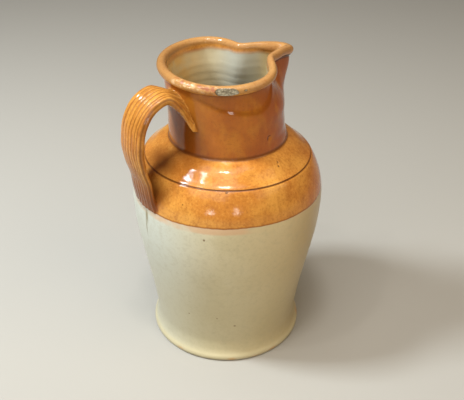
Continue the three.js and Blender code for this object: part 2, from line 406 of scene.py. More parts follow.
# %% Move the points of the body
def body_points(kind, radius, height, turn, azimuth):
    """Where points of the profile come to lie once the mouth is pinched, in mm."""
    angle = np.radians(azimuth)
    share, keel = pinch_share(height, azimuth), keel_share(height)
    aslant = 1 + share * (slant(azimuth) - 1)
    keel_beak = beak(azimuth, KEEL_SPREAD - 4.5 * fade(height, 255, 300))
    mouth = fade(height, *MOUTH)
    dent = keel * SPOUT_KEEL_REACH * keel_beak - share * pinch(azimuth) + mouth * drift(azimuth)
    pressed = pressed_share(azimuth)
    longer = 0.5 * WALL * (aslant - 1)
    outside = radius + dent + longer + fold(azimuth, height) + throwing_rings(azimuth, height)
    inside = radius + dent - longer + 0.8 * share * pressed - keel * SPOUT_CHANNEL_LOSS * beak(azimuth)
    inside = inside + inner_rings(azimuth, height)
    half_width = (LIP_HALF_WIDTH - PINCH_THINNING * pressed) * slant(azimuth)
    over = 0.5 * (1 - np.cos(turn))
    lip = LIP_RADIUS + lip_shift(azimuth) + half_width * np.cos(turn)
    lip = lip - over * SPOUT_CHANNEL_LOSS * beak(azimuth)
    reach = np.select([kind == OUTSIDE, kind == LIP, kind == INSIDE], [outside, lip, inside], radius)
    blunt = 1.6 * beak(azimuth) * np.sin(turn) * (kind == LIP)
    rise = height + lip_rise(azimuth) * mouth + blunt
    return np.column_stack([reach * np.cos(angle), reach * np.sin(angle), rise])


def read_points(mesh):
    """The mesh's points in mm."""
    flat = np.empty(3 * len(mesh.vertices))
    mesh.vertices.foreach_get("co", flat)
    return flat.reshape(-1, 3) / MM


def write_points(mesh, points):
    mesh.vertices.foreach_set("co", (points * MM).ravel())
    mesh.update()


points = read_points(body.data)
numbers = np.empty(len(points), np.float32)
body.data.attributes["row"].data.foreach_get("value", numbers)
kind, radius, height, turn = rows[np.rint(numbers).astype(int)].T
azimuth = np.degrees(np.arctan2(points[:, 1], points[:, 0]))
write_points(body.data, body_points(kind, radius, height, turn, azimuth))
body.data.attributes.remove(body.data.attributes["row"])
print("body box in mm:", read_points(body.data).min(0).round(1), read_points(body.data).max(0).round(1))

# %% [markdown]
# ## The pulled handle
#
# A strap handle is pulled from a lump of clay, run between the fingers so that it keeps ridges along
# its back, and pressed on to the neck and the belly. A flat grid is rolled into a tube here: one way it
# goes round the strap's section, and the other way along its middle line. Sweeping a curve would be
# quicker, but it can't let the strap spread and thin at its ends.

# %% The strap's section and middle line
HANDLE_WIDTH, HANDLE_THICK_TOP, HANDLE_THICK_END = 38, 12, 7
REED_GROOVES = (-14.4, -11.3, -6.6, -1.8, 3.8, 10.2)
NECK_JOINT_RADIUS, BELLY_JOINT_RADIUS = 55.7, 93.1
GROOVE_SPREAD, GROOVE_DEPTH, EDGE_GROOVE_DEPTH = 0.62, 0.72, 0.55
handle_line = smooth_line(
    [(-NECK_JOINT_RADIUS, 277), (-64, 285), (-76.5, 290.6), (-90.4, 285.4), (-101.4, 270), (-106, 248),
     (-104.2, 229), (-99.2, 209.5), (-97, 193), (-BELLY_JOINT_RADIUS, 177)],
    0.2,
)
BACK_POINTS, EDGE_POINTS, UNDER_POINTS = 56, 14, 10
SECTION_POINTS = BACK_POINTS + 2 * EDGE_POINTS + UNDER_POINTS


def groove(across):
    return sum(bump(across, place, GROOVE_SPREAD) for place in REED_GROOVES)


def edge_groove(angles):
    return bump(angles, -0.5, 0.28)


def strap_section(width, thickness, wander=0.0):
    """The strap's outline as [across, outwards] in mm, and how deep in a groove each point lies."""
    edge = 0.34 * thickness
    flat = 0.5 * width - edge
    back = np.linspace(-flat, flat, BACK_POINTS + 1)[:-1]
    crown = (0.5 * thickness - edge) * np.cos(0.5 * math.pi * back / flat)
    outline = [np.column_stack([back, edge + crown - GROOVE_DEPTH * groove(back + wander)])]
    angles = np.linspace(0.5 * math.pi, -0.5 * math.pi, EDGE_POINTS + 1)[:-1]
    outline.append(np.column_stack([flat + edge * np.cos(angles), edge * np.sin(angles)]))
    under = np.linspace(flat, -flat, UNDER_POINTS + 1)[:-1]
    belly = (0.5 * thickness - edge) * np.cos(0.5 * math.pi * under / flat)
    outline.append(np.column_stack([under, -edge - belly]))
    side = edge - EDGE_GROOVE_DEPTH * edge_groove(angles)
    outline.append(np.column_stack([-flat - side * np.cos(angles), -side * np.sin(angles)]))
    outline = np.vstack(outline)
    depth = np.zeros(len(outline))
    depth[:BACK_POINTS] = np.clip(groove(back + wander), 0, 1) ** 2
    depth[-EDGE_POINTS:] = edge_groove(angles)
    return outline, depth


print("points round the strap:", SECTION_POINTS)

# %% [markdown]
# A ring of points stands at each step along the middle line. The strap thins downwards, and at the neck
# it spreads and droops at its edges, like a comma. Both ends are closed inside the wall, where the join
# will swallow them.


# %% Roll the grid into the strap
HANDLE_STEPS = 130
CLOSING_SHARES = (0.66, 0.33, 0.0005)
NECK_SPREAD, NECK_DROOP, NEAR_TUCK, FAR_TUCK = 18, 13, 5.0, -6.0


def strap_rings():
    """The strap's rings of points in mm, and how deep in a groove each point lies."""
    along = np.gradient(handle_line, axis=0)
    along /= np.linalg.norm(along, axis=1)[:, None]
    rings, depths = [], []
    for step in range(HANDLE_STEPS + 1):
        share = step / HANDLE_STEPS
        place = round(share * (len(handle_line) - 1))
        (x, z), (dx, dz) = handle_line[place], along[place]
        near_neck = 1 - fade(share, 0, 0.16)
        width = HANDLE_WIDTH + NECK_SPREAD * near_neck
        thickness = HANDLE_THICK_TOP + (HANDLE_THICK_END - HANDLE_THICK_TOP) * fade(share, 0.3, 0.95)
        outline, depth = strap_section(width, thickness, 0.5 * math.sin(share * 9))
        across, lift = outline.T
        edge = (2 * across / width) ** 2
        lift = lift * (1 - 0.55 * near_neck * edge)
        tuck = np.where(across < 0, NEAR_TUCK, FAR_TUCK) * (1 - fade(share, 0, 0.08))
        droop = (NECK_DROOP * near_neck + tuck) * edge
        wobble = 0.25 * math.sin(share * 21) + 0.2 * math.sin(share * 47)
        rings.append(np.column_stack([x + lift * dz, across + wobble, z - lift * dx - droop]))
        depths.append(depth * fade(share, 0.02, 0.10) * (1 - 0.7 * fade(share, 0.88, 1)))
    return rings, depths


def bent_to_wall(ring, radius):
    """An end ring pressed on to the round of the wall that it is buried in."""
    return np.column_stack([-np.sqrt(radius**2 - ring[:, 1] ** 2), ring[:, 1], ring[:, 2]])


def closing_rings(ring, radius):
    """Smaller and smaller rings that close an end of the strap."""
    middle = ring.mean(0)
    return [bent_to_wall(middle + share * (ring - middle), radius) for share in CLOSING_SHARES]


rings, depths = strap_rings()
rings[0] = bent_to_wall(rings[0], NECK_JOINT_RADIUS)
rings[-1] = bent_to_wall(rings[-1], BELLY_JOINT_RADIUS)
neck_end = closing_rings(rings[0], NECK_JOINT_RADIUS)[::-1]
belly_end = closing_rings(rings[-1], BELLY_JOINT_RADIUS)
strap = np.array(neck_end + rings + belly_end)
strap_depth = np.array([depths[0]] * len(neck_end) + depths + [depths[-1]] * len(belly_end))

bpy.ops.object.select_all(action="DESELECT")
bpy.ops.mesh.primitive_grid_add(x_subdivisions=SECTION_POINTS, y_subdivisions=len(strap) - 1, size=1)
handle = bpy.context.object
handle.name = "pulled_handle"
grid = read_points(handle.data) * MM + 0.5
column = np.rint(grid[:, 0] * SECTION_POINTS).astype(int) % SECTION_POINTS
line = np.rint(grid[:, 1] * (len(strap) - 1)).astype(int)
handle_points = strap[line, column]
groove_depth = strap_depth[line, column]
print("rings along the strap:", len(strap))

# %% [markdown]
# A potter smears the clay of the strap on to the wall, so the joint is a small hollow curve and no
# sharp corner. Points of the strap that come near the wall are eased outwards from the strap's middle.


# %% Smear the strap's ends on to the wall
SMEAR_REACH, SMEAR_SPREAD = 1.6, 1.8


def wall_radius(height):
    """The radius of the outside of the body at a height, in mm."""
    outside = rows[rows[:, 0] == OUTSIDE]
    return np.interp(height, outside[:, 2], outside[:, 1])


def smeared(points, middles):
    """The strap's points, eased away from its middles where the wall is near."""
    gap = np.hypot(points[:, 0], points[:, 1]) - wall_radius(points[:, 2])
    away = points - middles
    away /= np.linalg.norm(away, axis=1)[:, None] + 1e-9
    return points + away * (SMEAR_REACH * np.exp(-np.maximum(gap, 0) / SMEAR_SPREAD))[:, None]


middles = strap.mean(1)[line]
middles[:, 1] = 0.7 * handle_points[:, 1]
handle_points = smeared(handle_points, middles)
write_points(handle.data, handle_points)

bpy.ops.object.mode_set(mode="EDIT")
bpy.ops.mesh.select_all(action="SELECT")
bpy.ops.mesh.remove_doubles(threshold=0.03 * MM)
bpy.ops.mesh.normals_make_consistent(inside=False)
bpy.ops.object.mode_set(mode="OBJECT")
print("handle points:", len(handle.data.vertices))

# %% [markdown]
# ## One piece of clay
#
# Body and handle are fired as one piece, so a Boolean joins them into one closed surface. The exact
# solver is slower than the fast one, but it copes with points that lie close together.

# %% Join the handle to the body
bpy.ops.object.select_all(action="DESELECT")
body.select_set(True)
bpy.context.view_layer.objects.active = body
join = body.modifiers.new("join_handle", "BOOLEAN")
join.operation = "UNION"
join.solver = "EXACT"
join.object = handle
bpy.ops.object.modifier_apply(modifier=join.name)
bpy.data.objects.remove(handle)
jug = body
jug.name = "stoneware_jug"
print("points after the join:", len(jug.data.vertices), "faces:", len(jug.data.polygons))

# %% [markdown]
# A potter runs a wet finger round the joint. Here the points near both the strap and the wall are
# smoothed a little, and a search tree finds them fast.


# %% Relax the seam
SEAM_REACH = 2.0


def select_points(mesh, chosen):
    """Selects these points and nothing else."""
    mesh.vertices.foreach_set("select", chosen)
    mesh.polygons.foreach_set("select", np.zeros(len(mesh.polygons), bool))
    mesh.edges.foreach_set("select", np.zeros(len(mesh.edges), bool))


def near_seam(points, reach):
    """Points near both the strap and the body's wall, at the two joints."""
    tree = KDTree(len(handle_points))
    for index, point in enumerate(handle_points):
        tree.insert(point, index)
    tree.balance()
    found = np.zeros(len(points), bool)
    gap = np.hypot(points[:, 0], points[:, 1]) - wall_radius(points[:, 2])
    close = (points[:, 0] < -40) & (gap > -2) & (gap < reach) & (points[:, 2] > 165)
    for index in np.flatnonzero(close):
        found[index] = tree.find(points[index])[2] < reach
    return found, tree


points = read_points(jug.data)
seam, strap_tree = near_seam(points, SEAM_REACH)
select_points(jug.data, seam)
bpy.context.tool_settings.mesh_select_mode = (True, False, False)
bpy.ops.object.mode_set(mode="EDIT")
bpy.ops.mesh.remove_doubles(threshold=0.25 * MM)
bpy.ops.mesh.vertices_smooth(factor=0.5, repeat=3)
bpy.ops.object.mode_set(mode="OBJECT")
print("points relaxed along the seam:", int(seam.sum()))

# %% [markdown]
# ## Chips and knocks
#
# An old jug has been knocked: a flake is gone from the near side of the lip, a smaller one beside it,
# the lip is rubbed and pitted near the handle, and there are small dents in the neck and the shoulder.
# The faces there are subdivided first, so that a chip keeps a crisp edge, and then points are pressed
# in. A flake or a rubbed place has a centre, a direction, a depth and a reach, and a knock has a centre,
# a reach and a depth.


# %% Where the knocks are
def on_lip(azimuth, turn):
    """A point of the lip and the direction out of it; the turn goes over the roll from 0, outwards."""
    azimuth = np.array([float(azimuth)])
    lip_row = [np.array([number]) for number in (LIP, 0.0, LIP_HEIGHT, turn)]
    point = body_points(*lip_row, azimuth)[0]
    point[2] += LIP_HALF_HEIGHT * math.sin(turn)
    angle = math.radians(azimuth[0])
    outwards = (math.cos(turn) * math.cos(angle), math.cos(turn) * math.sin(angle), math.sin(turn))
    return Vector(point), Vector(outwards)


LIP_CHIP = (*on_lip(-125, 0.03 * math.pi), 1.6, 10.4)
SMALL_CHIP = (*on_lip(-110, 0.05 * math.pi), 0.4, 1.6)
RUBBED_PLACES = (-171, -165, -159, -153, -147, -141, -135)
RUBBED_LIP = [(*on_lip(azimuth, 0.16 * math.pi), 0.2, 3.5) for azimuth in RUBBED_PLACES]
KNOCKS = (
    (Vector((8.5, -57.4, 248.4)), 3.4, 1.0),
    (Vector((-48.0, -70.0, 213.4)), 1.8, 0.7),
    (Vector((-80.0, -45.0, 198.0)), 1.3, 0.5),
)
SCRATCHES = ((Vector((12.5, -65.0, 229.0)), Vector((9.5, -71.5, 224.0)), 0.7, 0.45),)


def fine_zone(points):
    """Points whose faces are worth subdividing."""
    zone = np.zeros(len(points), bool)
    round_zones = [(LIP_CHIP[0], 12), (SMALL_CHIP[0], 4.5), (RUBBED_LIP[2][0], 14)]
    round_zones += [(centre, 2 * reach) for centre, reach, _ in KNOCKS]
    for centre, reach in round_zones:
        zone |= np.linalg.norm(points - np.array(centre), axis=1) < reach
    for start, end, _, _ in SCRATCHES:
        zone |= np.linalg.norm(points - np.array((start + end) / 2), axis=1) < 7
    return zone


points = read_points(jug.data)
select_points(jug.data, fine_zone(points))
bpy.ops.object.mode_set(mode="EDIT")
bpy.ops.mesh.select_mode(type="VERT")
bpy.ops.mesh.subdivide(number_cuts=2)
bpy.ops.object.mode_set(mode="OBJECT")
print("points after subdividing the knocks:", len(jug.data.vertices))

# %% [markdown]
# A flake leaves a nearly flat facet, so the points of the lip that stand above a plane are pressed down
# on to it, and a smooth random value makes it uneven. Knocks and scratches are soft dents.


# %% Press in the knocks
DEEPEST_RUB = 0.3
SCRATCH_INWARDS = np.array([0.1, -0.6, 0.8])


def rough(points, scale, seed):
    """A smooth random value at each point, mostly from -1 to 1, and the same on every run."""
    randomness = np.random.default_rng(seed)
    value = np.zeros(len(points))
    for _ in range(9):
        direction = randomness.normal(size=3)
        direction /= np.linalg.norm(direction)
        value += np.sin(points @ direction / scale * 2.2 + randomness.uniform(0, 6.3))
    return value / 4


points = read_points(jug.data)
bare, rubbed = np.zeros(len(points)), np.zeros(len(points))
for centre, outwards, depth, reach in (LIP_CHIP, SMALL_CHIP, *RUBBED_LIP):
    outwards = np.array(outwards)
    away = points - np.array(centre)
    over = away @ outwards + depth + 0.20 * rough(points, 2.2, 3) + 0.12 * rough(points, 0.9, 5)
    across_lip = np.linalg.norm(away * (1, 1, 1.9), axis=1) + 0.7 * rough(points, 3.0, 7)
    inside_reach = (across_lip < reach) & (over > 0) & (over < 4)
    points = points - outwards * np.where(inside_reach, over, 0)[:, None]
    if depth > DEEPEST_RUB:
        bare = np.maximum(bare, inside_reach)
    else:
        rubbed = np.maximum(rubbed, 1 - np.linalg.norm(away, axis=1) / 6)
for centre, reach, depth in KNOCKS:
    away = points - np.array(centre)
    outwards = np.array([centre.x, centre.y, 0]) / math.hypot(centre.x, centre.y)
    push = depth * bump(np.linalg.norm(away, axis=1), 0, reach * 0.6)
    points = points - outwards * push[:, None]
for start, end, width, depth in SCRATCHES:
    span = np.array(end - start)
    share = np.clip((points - np.array(start)) @ span / (span @ span), 0, 1)
    gap = np.linalg.norm(points - np.array(start) - share[:, None] * span, axis=1)
    points = points - SCRATCH_INWARDS * (depth * bump(gap, 0, width))[:, None]
write_points(jug.data, points)
print("points in bare clay:", int(bare.sum()))

# %% [markdown]
# The bare clay in a chip, the pooled glaze in a groove, a painted shade line along the fold, and the
# two sides of the wall each get a value on every point, for the glaze to read. A painted map would need
# the surface to be unwrapped.

# %% Values on the points for the glaze to read
STRAP_SKIN, FOLD_SHADE = 1.2, 0.45

pool_and_fold_shade, on_strap = np.zeros(len(points)), np.zeros(len(points))
near_strap = (points[:, 0] < -50) & (points[:, 2] > 170)
for index in np.flatnonzero(near_strap):
    _, nearest, distance = strap_tree.find(points[index])
    if distance < STRAP_SKIN:
        pool_and_fold_shade[index] = groove_depth[nearest]
        on_strap[index] = 1

azimuth = np.degrees(np.arctan2(points[:, 1], points[:, 0]))
level = points[:, 2] - lip_rise(azimuth) * fade(points[:, 2], *MOUTH)
fold_gap = points[:, 2] - fold_line(azimuth)
in_fold = fade(azimuth, -160, -135) * (1 - fade(azimuth, -75, -58)) * (points[:, 2] > 240) * (1 - on_strap)
# A painted shade line along the fold, kept in the same values as the glaze pooled in the grooves.
pool_and_fold_shade = np.maximum(pool_and_fold_shade, FOLD_SHADE * in_fold * bump(fold_gap, 1.5, 2.2))
reach = np.hypot(points[:, 0], points[:, 1])
outer_wall = body_points(np.full(len(points), OUTSIDE), wall_radius(level), level, 0.0 * azimuth, azimuth)
outer_reach = np.hypot(outer_wall[:, 0], outer_wall[:, 1])
within = np.clip((outer_reach - reach - 1.0) / 1.4, 0, 1) * (points[:, 2] > 7.5)
point_values = {
    "bare_clay": bare, "rubbed": rubbed, "pool_and_fold_shade": pool_and_fold_shade, "on_strap": on_strap,
    "inner_side": within, "level": level, "pinched": pressed_share(azimuth),
}
for name, values in point_values.items():
    attribute = jug.data.attributes.new(name, "FLOAT", "POINT")
    attribute.data.foreach_set("value", values.astype(np.float32))
print("points on the inner side:", int((within > 0.5).sum()))

# %% [markdown]
# The floor is matt paint: rough, so that it mirrors nothing, and a pale warm grey, so that the light it
# throws back on the foot is soft. Colours are sRGB hex values, and one function turns them into the
# linear ones that a shader wants.


# %% The floor's plain finish
def linear(colour):
    """An sRGB hex value as the linear colour that the shader wants."""
    parts = [int(colour[place:place + 2], 16) / 255 for place in (1, 3, 5)]
    return [part / 12.92 if part <= 0.04045 else ((part + 0.055) / 1.055) ** 2.4 for part in parts] + [1.0]


floor_paint = bpy.data.materials.new("matt_floor_paint")
floor_paint.use_nodes = True
paint = floor_paint.node_tree.nodes["Principled BSDF"]
paint.inputs["Base Color"].default_value = linear("#a5a199")
paint.inputs["Roughness"].default_value = 0.9
floor.data.materials.append(floor_paint)
print("floor finish:", floor_paint.name)

# %% [markdown]
# ## The glaze
#
# Stoneware glaze is a hard glassy skin, typically of refractive index 1.5, fired on to grey clay. To the
# eye it is wet and deep, and lights stay sharp on it. It is thin over edges, where the clay warms it, and
# pools dark in grooves. The brown dip is an iron wash under the same glaze, so one material makes both.
#
# Everything the glaze depends on is kept by name in one dictionary: how high a place is, how far along
# the spout and to the right, and what was written on the points above. Places are in mm on object
# coordinates, so the patterns stay put when the jug moves.


# %% Where a place on the jug is
def add(kind, inputs=(), **settings):
    """Adds a node with its settings; inputs pairs a socket's name or number with a value or a socket."""
    made = tree.nodes.new(kind)
    for name, setting in settings.items():
        setattr(made, name, setting)
    for socket, given in dict(inputs).items():
        if isinstance(given, bpy.types.NodeSocket):
            tree.links.new(given, made.inputs[socket])
        else:
            made.inputs[socket].default_value = given
    return made


TO_THE_RIGHT = (0.825, -0.566, 0)
glaze = bpy.data.materials.new("glazed_stoneware")
glaze.use_nodes = True
tree = glaze.node_tree
surface = tree.nodes["Principled BSDF"]
coordinates = add("ShaderNodeTexCoord").outputs["Object"]
in_mm = add("ShaderNodeMapping", {"Vector": coordinates, "Scale": (1000, 1000, 1000)}).outputs[0]
axes = add("ShaderNodeSeparateXYZ", {0: in_mm}).outputs

value = {name: add("ShaderNodeAttribute", attribute_name=name).outputs["Fac"] for name in point_values}
value["along_spout"], value["height"] = axes[0], axes[2]
rightwards = add("ShaderNodeVectorMath", {0: in_mm, 1: TO_THE_RIGHT}, operation="DOT_PRODUCT")
value["to_right"] = rightwards.outputs["Value"]
print("values:", sorted(value))

# %% [markdown]
# Each noise has its size in mm and its detail. Most are patterns in the real glaze: the waver of a dip by
# hand, clouds where the wash is thick, runs drawn down by the melt, grain and specks of iron, the ripple
# of orange peel; one only breaks up the painted shade inside. Real grain and specks are half a millimetre
# or less, too fine to show, so they are drawn two or three times as coarse. A small number in a stretch
# draws the pattern out that way.

# %% The patterns of the glaze
NOISES = {
    "dip_waver": (62, 1), "dip_nibble": (6, 2), "drips": (16, 1), "clouds": (46, 3), "blotches": (14, 3),
    "mottle": (5.2, 3), "grain": (2.2, 3), "specks": (1.25, 2), "runs": (7, 3), "strap_streaks": (3.6, 2),
    "pale_clouds": (52, 3), "pale_mottle": (5.5, 3), "stain_clouds": (24, 2), "inner_clouds": (30, 3),
    "inner_shade_clouds": (15, 3), "clay_grain": (1.7, 4), "ripple": (9, 2), "peel": (2.6, 2),
}
STRETCHED = {
    "drips": (1, 1, 0.3), "blotches": (1, 1, 0.6), "runs": (1, 1, 0.1), "strap_streaks": (0.11, 1, 0.11),
}
for name, (size, detail) in NOISES.items():
    scale = [part / size for part in STRETCHED.get(name, (1, 1, 1))]
    scaled = add("ShaderNodeMapping", {"Vector": in_mm, "Scale": scale}).outputs[0]
    value[name] = add("ShaderNodeTexNoise", {"Vector": scaled, "Scale": 1, "Detail": detail}).outputs["Fac"]
print("patterns:", len(NOISES))

# %% [markdown]
# Single marks have places of their own: iron specks burst through the pale glaze, a drip ran down under
# the handle, and small knocks went dark. The handle's shadow on the neck, the shoulder and round its
# lower joint is painted in with dark blobs too. Each is a blob with a centre and half sizes in mm, and it
# is full strength within a share of its size.

# %% Single marks
BLOBS = {
    "iron": (0.6, (
        ((-71, -67, 167), (1.1, 1.1, 1.3)), ((-72, -38, 58), (0.9, 0.9, 0.9)),
        ((-53, -62, 59), (0.8, 0.8, 0.7)), ((-37, -71, 48), (1.3, 1.3, 1)),
        ((64, -58, 92), (0.9, 0.9, 0.8)), ((35, 84, 120), (1, 1, 0.9)),
        ((70, 50, 60), (1.1, 1.1, 0.8)), ((-90, -8, 96), (0.8, 0.8, 0.8)),
        ((12, -92, 140), (0.7, 0.7, 0.7)),
    )),
    "dark_knocks": (0.6, (
        ((8.5, -58, 250.4), (2.6, 1.6, 0.9)), ((6.4, -58, 248.4), (0.9, 1.6, 2.2)),
        ((-48, -70, 213.2), (1.7, 1.2, 1.2)), ((12.6, -65.6, 229), (0.7, 1.5, 1)),
        ((11.4, -68.3, 226.8), (0.7, 1.8, 1.1)), ((10, -71.4, 224.2), (0.7, 1.6, 1)),
        ((-80, -45, 198), (1, 1, 1)), ((-35, 45, 300), (1.3, 1.3, 1.2)),
        ((-2, 53, 283), (1.3, 1.3, 1.1)),
    )),
    "foot_spots": (0.1, (
        ((-40, -71, 3), (5, 5, 2.2)), ((65, -49, 6), (7, 7, 3)), ((-76, -26, 4), (4, 5, 1.6)),
        ((6, -81, 3), (6, 4, 1.8)), ((-15, -80, 2), (5, 4, 1.2)), ((30, 76, 3), (6, 5, 2)),
    )),
    "drip": (0.4, (((-97, -4.5, 170), (3.5, 2.3, 9)), ((-96, -2.6, 158), (4.5, 1.0, 13)))),
    # Painted shadow: where the handle shades the neck, the shoulder and its lower joint, the glaze is drawn
    # dark brown.
    "handle_shadow": (0.3, (
        ((-58, -14, 258), (20, 27, 36)), ((-75, 2, 221), (17, 25, 13)), ((-88, -14, 196), (14, 16, 14)),
    )),
}
BLOB_ENDS, BLOB_STRENGTH = 1.25, 0.8
for name, (full_within, blobs) in BLOBS.items():
    total = 0.0
    for centre, half_sizes in blobs:
        offset = add("ShaderNodeVectorMath", {0: in_mm, 1: centre}, operation="SUBTRACT").outputs[0]
        scaled = add("ShaderNodeVectorMath", {0: offset, 1: half_sizes}, operation="DIVIDE").outputs[0]
        away = add("ShaderNodeVectorMath", {0: scaled}, operation="LENGTH").outputs["Value"]
        inside = add("ShaderNodeMapRange", {0: away, 1: BLOB_ENDS, 2: full_within}).outputs[0]
        total = add("ShaderNodeMath", {0: total, 1: inside}, operation="MAXIMUM").outputs[0]
    value[name] = add("ShaderNodeMath", {0: total, 1: BLOB_STRENGTH}, operation="MULTIPLY").outputs[0]
print("marks:", sum(len(blobs) for _, blobs in BLOBS.values()))

# %% [markdown]
# A mask says where a colour goes. Each is one row: its name, how it is made, and what it is made from. A
# ramp is a soft step over a value, from nothing at the first number to everything at the second, or
# between two given shares, and a product multiplies its parts.
#
# The dip line stands 180 mm up and wavers by a millimetre or two, with a thin dark edge and a peach stain
# below it. Inside, the brown runs over the lip and ends in short drips.

# %% Where the brown dip ends
MASKS = [
    ("slow_waver", "MULTIPLY_ADD", "dip_waver", 5, -2.5),
    ("nibble", "MULTIPLY_ADD", "dip_nibble", 1, -0.5),
    ("waver", "ADD", "slow_waver", "nibble"),
    ("dip_height", "ADD", "height", "waver"),
    ("dipped", "RAMP", "dip_height", 179.7, 180.4),
    ("edge_begins", "RAMP", "dip_height", 179.6, 180.1),
    ("edge_ends", "RAMP", "dip_height", 182.2, 180.6),
    ("edge_pooled", "PRODUCT", "edge_begins", "edge_ends", 0.62),
    ("stain_begins", "RAMP", "dip_height", 172.6, 175.4),
    ("stain_ends", "RAMP", "dip_height", 180.6, 180),
    ("stain_patches", "RAMP", "stain_clouds", 0.34, 0.6, 0.15, 0.8),
    ("stain_left", "RAMP", "to_right", 60, 5, 0.15, 1),
    ("stain", "PRODUCT", "stain_begins", "stain_ends", "stain_patches", "stain_left"),
    ("drip_edge", "MULTIPLY_ADD", "drips", 3, -1.5),
    ("drip_level", "ADD", "level", "drip_edge"),
    ("drip_height", "MULTIPLY_ADD", "pinched", -2, "drip_level"),
    ("inner_dip", "RAMP", "drip_height", 296.2, 302.2),
    ("outer_side", "SUBTRACT", 1, "inner_side"),
    ("dipped_outside", "PRODUCT", "dipped", "outer_side"),
    ("dipped_inside", "PRODUCT", "inner_dip", "inner_side"),
    ("brown_share", "ADD", "dipped_outside", "dipped_inside"),
]
print("masks so far:", len(MASKS))

# %% [markdown]
# A brown iron wash is never even. Seen closely it has clouds, blotches, mottling, grains and runs. The
# neck is redder and more blotched, and it has none of the shoulder's light grains. Its right side, which
# faces away from the lamps, is painted darker and redder still, as shade.

# %% How the brown varies
MASKS += [
    ("above_crease", "RAMP", "height", 230, 235),
    ("below_lip", "RAMP", "level", 301, 299),
    ("off_strap", "SUBTRACT", 1, "on_strap"),
    ("on_neck", "PRODUCT", "above_crease", "below_lip", "off_strap"),
    ("off_neck", "SUBTRACT", 1, "on_neck"),
    # The painted handle shadow, kept off the strap itself.
    ("handle_shadow", "PRODUCT", "handle_shadow", "off_strap"),
    ("cloudy", "RAMP", "clouds", 0.38, 0.64),
    ("patches", "RAMP", "blotches", 0.5, 0.68, 0, 0.26),
    ("blotched", "PRODUCT", "patches", "off_neck"),
    ("neck_patches", "RAMP", "blotches", 0.48, 0.66, 0, 0.42),
    ("neck_blotched", "PRODUCT", "neck_patches", "on_neck"),
    ("thin_blotches", "RAMP", "blotches", 0.46, 0.3, 0, 0.26),
    ("mottled", "RAMP", "mottle", 0.5, 0.66, 0, 0.24),
    ("grainy", "RAMP", "grain", 0.52, 0.7, 0, 0.3),
    ("between_grains", "RAMP", "grain", 0.46, 0.32, 0, 0.26),
    ("light_grain", "PRODUCT", "between_grains", "off_neck"),
    ("speckled", "RAMP", "specks", 0.64, 0.72, 0, 0.42),
    ("streaked", "RAMP", "runs", 0.54, 0.7, 0, 0.22),
    # Painted shade: the neck's right side, which faces away from the lamps, goes darker and redder.
    ("right_neck_shade", "RAMP", "to_right", 12, 58),
    ("far_right", "RAMP", "to_right", 66, 96, 0, 0.75),
]
print("masks so far:", len(MASKS))

# %% [markdown]
# Glaze runs off an edge and gathers in a hollow: it is thin and pale over the lip, and dark in the
# incised line, in the crease under the neck and in the strap's grooves. The dark band below the lip is
# glaze pooled in the crease with painted shade under the roll, and the strap's lower end is painted
# darker as shade.

# %% Where the glaze thins and pools
MASKS += [
    ("thin_on_lip", "RAMP", "level", 301.5, 306.5, 0, 0.75),
    ("left_part", "RAMP", "to_right", -36, -68, 0, 0.6),
    ("lip_left", "PRODUCT", "left_part", "thin_on_lip"),
    # Painted shade: the strap darkens towards its lower end at the belly.
    ("low", "RAMP", "height", 236, 186, 0, 0.85),
    ("strap_low_shade", "PRODUCT", "low", "on_strap"),
    ("high", "RAMP", "height", 240, 285, 0, 0.6),
    ("strap_high", "PRODUCT", "high", "on_strap"),
    ("streaky", "RAMP", "strap_streaks", 0.48, 0.64, 0, 0.5),
    ("strap_streaked", "PRODUCT", "streaky", "on_strap"),
    ("line_begins", "RAMP", "height", 213.2, 213.7),
    ("line_ends", "RAMP", "height", 215.3, 214.7),
    ("line", "PRODUCT", "line_begins", "line_ends", "off_strap", 0.78),
    ("crease_begins", "RAMP", "height", 231, 232.3),
    ("crease_ends", "RAMP", "height", 236.2, 233.2),
    ("crease", "PRODUCT", "crease_begins", "crease_ends", "off_strap", 0.72),
    # Painted shade under the lip's roll, over glaze pooled in the crease there, strongest towards the
    # spout.
    ("shade_begins", "RAMP", "level", 297.4, 299.6),
    ("shade_ends", "RAMP", "level", 302.2, 300.4),
    ("spout_side", "RAMP", "to_right", 28, 50, 0.35, 0.85),
    ("under_lip", "PRODUCT", "shade_begins", "shade_ends", "outer_side", "spout_side"),
    # Glaze pooled in the strap's grooves, and the painted shade line along the fold.
    ("groove_pool_and_fold_shade", "PRODUCT", "pool_and_fold_shade", 0.78),
]
print("masks so far:", len(MASKS))

# %% [markdown]
# The pale glaze has faint warm clouds, and the foot's bead is rubbed to a yellower cream. Light is also
# painted into it: a cool reflection on the left, warm shade on the right that turns browner at the far
# edge, and shade that darkens it lower down. Inside it is greyer. There the colour is painted browner
# towards the handle, as shade and warm light thrown from the brown glaze, paler and greyer on the lit
# patch of the far wall, a warmer brown as shade on the right, and lighter deep down.

